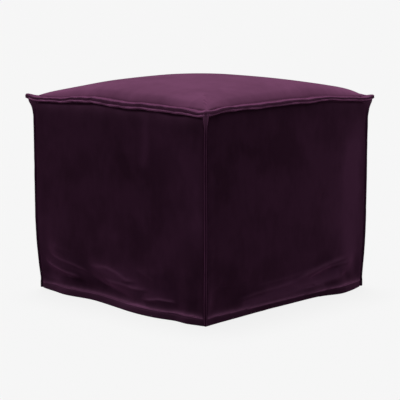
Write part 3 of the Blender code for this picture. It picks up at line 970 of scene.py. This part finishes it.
def make_welt(side, seed):
    outward = (np.array(side.outward) + np.array(side.along)) / math.sqrt(2.0)
    aside = np.array((-outward[1], outward[0]))
    packed_top, sections = welt_sections(side, outward, seed)
    mesh = bmesh.new()
    rings = []
    for height, section in sections:
        places = [outward * reach + aside * across for reach, across in section]
        rings.append([mesh.verts.new((x, y, height)) for x, y in places])
    for lower, upper in zip(rings, rings[1:]):
        for index, vertex in enumerate(lower):
            following = (index + 1) % len(lower)
            mesh.faces.new((vertex, lower[following], upper[following], upper[index]))
    mesh.faces.new(rings[0][::-1])
    mesh.faces.new(rings[-1])
    bmesh.ops.recalc_face_normals(mesh, faces=mesh.faces[:])
    piece = smooth(object_from("welt_" + side.last_corner, mesh), levels=1)
    below_ear = packed_top - points_of(piece)[:, 2]
    keep_on_mesh(piece, "bent_pile_and_painted_highlight", WELT_TOP_HIGHLIGHT * falloff(below_ear, WELT_TOP_REACH))
    return piece


welts = {side.last_corner: make_welt(side, 31 + 4 * n) for n, side in enumerate(SIDES)}
tell_faces("welts", welts.values())

# %% [markdown]
# ## Thread
#
# Three rows of stitches show from close by: in the gutter between the top panel and its edge, in
# the hem's step, and down each side of a corner welt. All stitches are one small bent capsule,
# set along rows of points that rays found on the finished cloth.

# %% Sew
THREAD = 0.38 * MM  # radius
STITCH_LENGTH = 3 * MM
STITCH_PITCH = 4 * MM
STITCH_SIDES = 6
STITCH_RINGS = (  # (place along half its length, girth, height), the last two in thread radii
    (-1.0, 0.45, -1.1), (-0.72, 0.9, 0.25), (0.0, 1.0, 0.5), (0.72, 0.9, 0.25), (1.0, 0.45, -1.1),
)
STITCHES_END = 236 * MM


def stitch(before, at, after):
    """The points of one stitch, ring by ring, on a (point, normal) between two others."""
    point, normal = at
    run = (after[0] - before[0]).normalized()
    up = (normal - run * normal.dot(run)).normalized()
    across = run.cross(up)
    turns = np.arange(STITCH_SIDES) / STITCH_SIDES * 2 * math.pi
    spokes = [across * math.cos(turn) + up * math.sin(turn) for turn in turns]
    for along, girth, height in STITCH_RINGS:
        middle = point + run * (along * STITCH_LENGTH / 2) + up * (height * THREAD)
        yield from (middle + spoke * (girth * THREAD) for spoke in spokes)


def stitch_faces(first, count):
    """The faces of a stitch whose points are so many from the first on."""
    for start in range(first, first + count - STITCH_SIDES, STITCH_SIDES):
        for index in range(STITCH_SIDES):
            here, following = start + index, start + (index + 1) % STITCH_SIDES
            yield here, following, following + STITCH_SIDES, here + STITCH_SIDES
    yield tuple(range(first, first + STITCH_SIDES))[::-1]
    yield tuple(range(first + count - STITCH_SIDES, first + count))


def sew(name, rows):
    """One piece of thread from rows of (point, normal): a stitch at each, along its row."""
    points, faces = [], []
    for row in rows:
        for three in zip(row, row[1:], row[2:]):
            faces.extend(stitch_faces(len(points), len(STITCH_RINGS) * STITCH_SIDES))
            points.extend(stitch(*three))
    data = bpy.data.meshes.new(name)
    data.from_pydata(points, [], faces)
    data.shade_smooth()
    return add_object(name, data)


print("thread:", round(2 * THREAD / MM, 2), "mm thick, a stitch every", STITCH_PITCH / MM, "mm")


# %% Stitches in the gutter of the top edge
GUTTER = NECK + 2 * MM
stitch_places = places_to(STITCHES_END, STITCH_PITCH)


def gutter_row(side):
    starts = world_points(side, GUTTER, stitch_places, 1.0)
    return on_cloth(tree_of(edges[side.name]), starts, (0, 0, -1))


edge_thread = sew("edge_thread", [gutter_row(side) for side in SIDES])
tell_faces("edge thread", [edge_thread])

# %% Stitches in the hem's step
cover_tree = tree_of(cover)


def hem_row(side):
    """Points in the hem's step: where the cloth falls back the most from one row to the next."""
    levels = np.arange(10 * MM, 22 * MM, 0.5 * MM)
    row = []
    for place in stitch_places:
        hits, outs = from_outside(cover_tree, side, place, levels)
        step = int(np.argmin(np.diff(outs)))
        row.append(hits[min(step + 2, len(hits) - 1)])
    return row


hem_thread = sew("hem_thread", [hem_row(side) for side in SIDES])
tell_faces("hem thread", [hem_thread])

# %% Stitches beside the welts
WELT_ROW = 241 * MM


def welt_row(side, end):
    heights = np.arange(30 * MM, 372 * MM, STITCH_PITCH)
    return from_outside(cover_tree, side, end * WELT_ROW, heights)[0]


welt_thread = sew("welt_thread", [welt_row(side, end) for side in SIDES for end in (-1, 1)])
tell_faces("welt thread", [welt_thread])

# %% [markdown]
# ## Velvet
#
# Velvet is a dense pile of short upright hairs. From the front it swallows light, and along its
# edge it glows, because the hairs' sides show. The shader's sheen does just that. Its weight,
# roughness and tint are the same everywhere, so they are set on the shader itself. What changes
# from place to place is how the pile was brushed, and its fine grain: both come from one node
# group, used by every velvet here with its own sizes. On top of that come the painted highlights
# and painted shade kept on the mesh.

# %% The pile, as a node group
PATCH_SHARE = 0.7  # brushed patches, and finer streaks among them
STREAK_SHARE = 0.3
STREAKS_IN_PATCH = 5.0
STREAK_STRETCH = (1.0, 1.0, 0.45)  # streaks run up and down
GRAIN_SHARE = 0.4  # grain on top of crushed places, which are larger
CRUSH_IN_GRAIN = 0.12


def wire(tree, node, inputs):
    """Set each input of a node to a value, or join it to an output or a node."""
    for name, given in inputs.items():
        if isinstance(given, bpy.types.Node):
            given = given.outputs[0]
        if isinstance(given, bpy.types.NodeSocket):
            tree.links.new(given, node.inputs[name])
        else:
            node.inputs[name].default_value = given
    return node


def add_node(tree, kind, inputs):
    return wire(tree, tree.nodes.new("ShaderNode" + kind), inputs)


def reckon(tree, operation, first, second):
    node = add_node(tree, "Math", {0: first, 1: second})
    node.operation = operation
    return node


def make_pile_group():
    group = bpy.data.node_groups.new("pile", "ShaderNodeTree")
    face = group.interface
    for name, value in (("Brush Size", 60 * MM), ("Grain Size", 0.9 * MM), ("Contrast", 1.0)):
        face.new_socket(name, in_out="INPUT", socket_type="NodeSocketFloat").default_value = value
    face.new_socket("Brushed", in_out="OUTPUT", socket_type="NodeSocketFloat")
    face.new_socket("Height", in_out="OUTPUT", socket_type="NodeSocketFloat")
    given = group.nodes.new("NodeGroupInput").outputs
    place = add_node(group, "TexCoord", {}).outputs["Object"]

    def clouds(size, count, vector, detail):
        """Noise with so many clouds to the length that the size socket gives."""
        scale = reckon(group, "DIVIDE", count, given[size])
        inputs = {"Scale": scale, "Vector": vector, "Detail": detail}
        return add_node(group, "TexNoise", inputs).outputs["Fac"]

    stretched = add_node(group, "Mapping", {"Scale": STREAK_STRETCH, "Vector": place})
    patches = clouds("Brush Size", 1.0, place, 2.0)
    streaks = clouds("Brush Size", STREAKS_IN_PATCH, stretched, 3.0)
    patches = reckon(group, "MULTIPLY", patches, PATCH_SHARE)
    streaks = reckon(group, "MULTIPLY", streaks, STREAK_SHARE)
    both = reckon(group, "ADD", patches, streaks)
    spread = add_node(group, "MapRange", {"From Min": 0.36, "From Max": 0.64, "Value": both})
    spread.interpolation_type = "SMOOTHSTEP"
    around_middle = reckon(group, "SUBTRACT", spread, 0.5)
    brushed = reckon(group, "MULTIPLY", around_middle, given["Contrast"])
    grain = reckon(group, "MULTIPLY", clouds("Grain Size", 1.0, place, 2.0), GRAIN_SHARE)
    crush = clouds("Grain Size", CRUSH_IN_GRAIN, place, 2.0)
    wire(group, group.nodes.new("NodeGroupOutput"), {
        "Brushed": reckon(group, "ADD", brushed, 0.5),
        "Height": reckon(group, "ADD", grain, crush),
    })
    return group


pile = make_pile_group()
print("pile group:", len(pile.nodes), "nodes")

# %% Velvet materials
Velvet = namedtuple(
    "Velvet",
    "against along sheen brush grain contrast bump sheen_roughness",
    defaults=((0.68, 0.215, 0.50), 30 * MM, 0.9 * MM, 0.8, 0.3, 0.5),
)
VELVETS = {
    "plum_sides": Velvet(
        (0.012, 0.003, 0.0088), (0.085, 0.027, 0.068), (0.58, 0.18, 0.43), 70 * MM, 1.1 * MM, 0.28
    ),
    "plum_panel": Velvet(  # where people sit, the pile stands less evenly
        (0.014, 0.002, 0.008), (0.0556, 0.0172, 0.0405), (0.545, 0.182, 0.402),
        90 * MM, 1.1 * MM, 0.6, sheen_roughness=0.57,
    ),
    "plum_edge": Velvet((0.028, 0.007, 0.021), (0.05, 0.015, 0.039)),
    "plum_welt": Velvet((0.038, 0.0105, 0.03), (0.06, 0.0185, 0.048)),
    "plum_thread": Velvet(
        (0.04, 0.0115, 0.031), (0.055, 0.017, 0.044), brush=9 * MM, grain=0.3 * MM, contrast=0.6,
        bump=0.15,
    ),
}
# painted highlight: the paler colour mixed in where the mesh keeps bent pile and highlight
PAINTED_HIGHLIGHT = (0.30, 0.112, 0.235, 1.0)
PILE_DEPTH = 0.5 * MM
DULL = 0.9  # roughness under the sheen
SHINE = 0.06


def mix_colours(tree, share, first, second):
    mix = add_node(tree, "Mix", {})
    mix.data_type = "RGBA"
    return wire(tree, mix, {"Factor": share, "A": first, "B": second}).outputs["Result"]


def read_from_mesh(tree, name):
    kept = add_node(tree, "Attribute", {})
    kept.attribute_name = name
    return kept.outputs["Fac"]


def make_velvet(name):
    look = VELVETS[name]
    material = bpy.data.materials.new(name)
    material.use_nodes = True
    tree = material.node_tree
    brushed = add_node(tree, "Group", {})
    brushed.node_tree = pile
    sizes = {"Brush Size": look.brush, "Grain Size": look.grain, "Contrast": look.contrast}
    wire(tree, brushed, sizes)
    # the brushed lean, with the painted shade and sheen kept on the mesh
    lean_and_painted_light = reckon(tree, "ADD", brushed.outputs["Brushed"], read_from_mesh(tree, "pile_lay_and_painted_light"))
    colour = mix_colours(tree, lean_and_painted_light, (*look.against, 1.0), (*look.along, 1.0))
    # painted highlight from the mesh, over the brushed colour
    lit = mix_colours(tree, read_from_mesh(tree, "bent_pile_and_painted_highlight"), colour, PAINTED_HIGHLIGHT)
    height = brushed.outputs["Height"]
    bump = add_node(tree, "Bump", {"Strength": look.bump, "Distance": PILE_DEPTH, "Height": height})
    wire(tree, tree.nodes["Principled BSDF"], {
        "Base Color": lit,
        "Roughness": DULL,
        "Specular IOR Level": SHINE,
        "Sheen Weight": 1.0,
        "Sheen Roughness": look.sheen_roughness,
        "Sheen Tint": (*look.sheen, 1.0),
        "Normal": bump,
    })
    return material


velvets = {name: make_velvet(name) for name in VELVETS}
print("materials:", sorted(velvets))

# %% Dress the pieces
PANEL_FLOOR = 395 * MM
FACES_UP = 0.1


def dress(piece, velvet):
    piece.data.materials.clear()
    piece.data.materials.append(velvets[velvet])
    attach(piece, "root")


dress(cover, "plum_sides")
cover.data.materials.append(velvets["plum_panel"])
for face in cover.data.polygons:
    middle = face.center
    on_top = middle.z > PANEL_FLOOR and max(abs(middle.x), abs(middle.y)) < NECK
    face.material_index = int(on_top and face.normal.z > FACES_UP)
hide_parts("pouf_body")
for side in SIDES:
    dress(edges[side.name], "plum_edge")
    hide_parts("top_edge_" + side.name)
    dress(welts[side.last_corner], "plum_welt")
    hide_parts("corner_welt_" + side.last_corner)
dress(edge_thread, "plum_thread")
dress(hem_thread, "plum_thread")
dress(welt_thread, "plum_thread")
print("panel faces:", sum(face.material_index for face in cover.data.polygons))

# %% [markdown]
# ## Studio
#
# The pouf stands on a plain pale floor that runs into a pale backdrop. One large soft light
# nearly overhead makes the top panel glow and leaves the sides deep, and a weak even fill keeps
# their folds readable. The floor looks white to the camera but throws little light back, as
# where the floor is lit apart from the subject.

# %% Floor
PALE = (0.92, 0.92, 0.92, 1.0)
FLOOR_GLOW = 0.93  # share of the floor's brightness that no shadow takes away
FLOOR_SHADED = (0.72, 0.72, 0.72, 1.0)
FLOOR_BOUNCE = (0.10, 0.10, 0.10, 1.0)
FLOOR_REACH = 60.0


def for_camera(tree, unseen, seen):
    """Show one shader to the camera, and light everything else with another."""
    looking = add_node(tree, "LightPath", {}).outputs["Is Camera Ray"]
    return add_node(tree, "MixShader", {"Fac": looking, 1: unseen, 2: seen})


def make_floor():
    data = bpy.data.meshes.new("floor")
    r = FLOOR_REACH
    data.from_pydata([(-r, -r, 0), (r, -r, 0), (r, r, 0), (-r, r, 0)], [], [(0, 1, 2, 3)])
    material = bpy.data.materials.new("pale_floor")
    material.use_nodes = True
    tree = material.node_tree
    tree.nodes.remove(tree.nodes["Principled BSDF"])
    glow = add_node(tree, "Emission", {"Color": PALE})
    matte = add_node(tree, "BsdfDiffuse", {"Color": FLOOR_SHADED})
    seen = add_node(tree, "MixShader", {"Fac": 1.0 - FLOOR_GLOW, 1: glow, 2: matte})
    bounce = add_node(tree, "BsdfDiffuse", {"Color": FLOOR_BOUNCE})
    wire(tree, tree.nodes["Material Output"], {"Surface": for_camera(tree, bounce, seen)})
    data.materials.append(material)
    return add_object("floor", data)


floor = make_floor()
print("floor:", 2 * FLOOR_REACH, "m across")

# %% Light
FILL = 0.25
SOFTBOX_POWER = 3.4
SOFTBOX_WIDTH = math.radians(20)
SOFTBOX_TURN = math.radians(235)  # from the front, as the camera's
SOFTBOX_RISE = math.radians(80)


def light_the_studio():
    scene = bpy.context.scene
    scene.view_settings.view_transform = "Standard"
    scene.world = bpy.data.worlds.new("studio")
    scene.world.use_nodes = True
    tree = scene.world.node_tree
    even = {"Color": (1.0, 1.0, 1.0, 1.0), "Strength": FILL}
    fill = wire(tree, tree.nodes["Background"], even)
    backdrop = add_node(tree, "Background", {"Color": PALE})
    wire(tree, tree.nodes["World Output"], {"Surface": for_camera(tree, fill, backdrop)})
    softbox = add_object("softbox", bpy.data.lights.new("softbox", "SUN"))
    softbox.data.energy = SOFTBOX_POWER
    softbox.data.angle = SOFTBOX_WIDTH
    above = towards(SOFTBOX_TURN, SOFTBOX_RISE)
    softbox.rotation_euler = above.to_track_quat("Z", "Y").to_euler()


light_the_studio()
print("softbox power", SOFTBOX_POWER, "fill", FILL)
